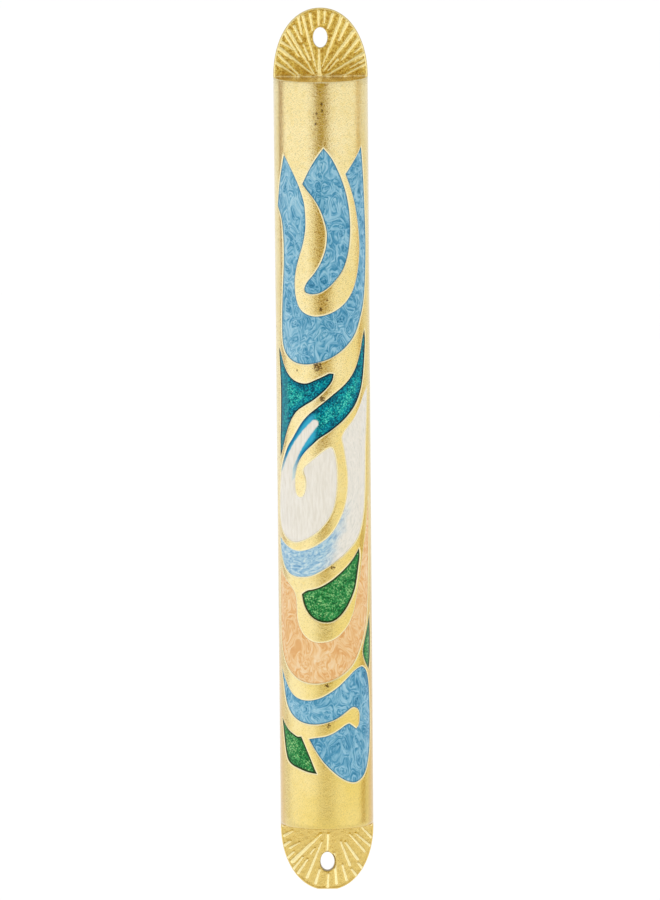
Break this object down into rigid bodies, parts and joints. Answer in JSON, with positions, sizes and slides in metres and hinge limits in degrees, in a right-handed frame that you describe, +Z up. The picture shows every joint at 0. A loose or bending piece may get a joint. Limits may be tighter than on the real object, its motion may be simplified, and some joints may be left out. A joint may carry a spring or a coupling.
{
  "type": "mezuzah case",
  "caption": "Slim half-round gilt mezuzah case with enamel-filled cells, ribbed end tabs with screw slots, a sliding rear cover and a rolled parchment inside.",
  "frame": {"origin": "midway between the two screw slots, on the flat back that lies against the door post", "axes": "+Z up along the case, +Y out of the back towards the door post, +X to the viewer's right; the enamelled front faces -Y"},
  "size_m": [0.02, 0.0124, 0.19],
  "materials": {
    "gilt_casting": "gold-plated casting, satin with a fine grain",
    "gilt_cover": "gold-plated plate, lengthwise brushed",
    "parchment": "matte, blank",
    "clear_sleeve": "clear gloss",
    "enamel_blue": "gloss, pearl swirls",
    "enamel_teal": "gloss, fine glitter",
    "enamel_teal_to_pearl": "gloss, teal fading to pearl white",
    "enamel_pearl_to_blue": "gloss, pearl white fading to light blue",
    "enamel_green": "gloss, fine glitter",
    "enamel_peach": "gloss, pearl swirls"
  },
  "bodies": {
    "shell": {"front_shell": "gilt_casting", "scroll": "parchment", "scroll_sleeve": "clear_sleeve", "enamel_blue_cup": "enamel_blue", "enamel_blue_comma": "enamel_blue", "enamel_teal_leaf": "enamel_teal", "enamel_teal_swirl": "enamel_teal_to_pearl", "enamel_pale_crescent": "enamel_pearl_to_blue", "enamel_green_leaf": "enamel_green", "enamel_peach_cup": "enamel_peach", "enamel_green_edge": "enamel_green", "enamel_blue_wave": "enamel_blue", "enamel_green_corner": "enamel_green"},
    "cover": {"rear_cover": "gilt_cover"}
  },
  "joints": [
    {"name": "cover_slide", "type": "slide", "parent": "shell", "child": "cover", "axis": [0, 0, 1], "range_m": [0, 0.156]}
  ]
}
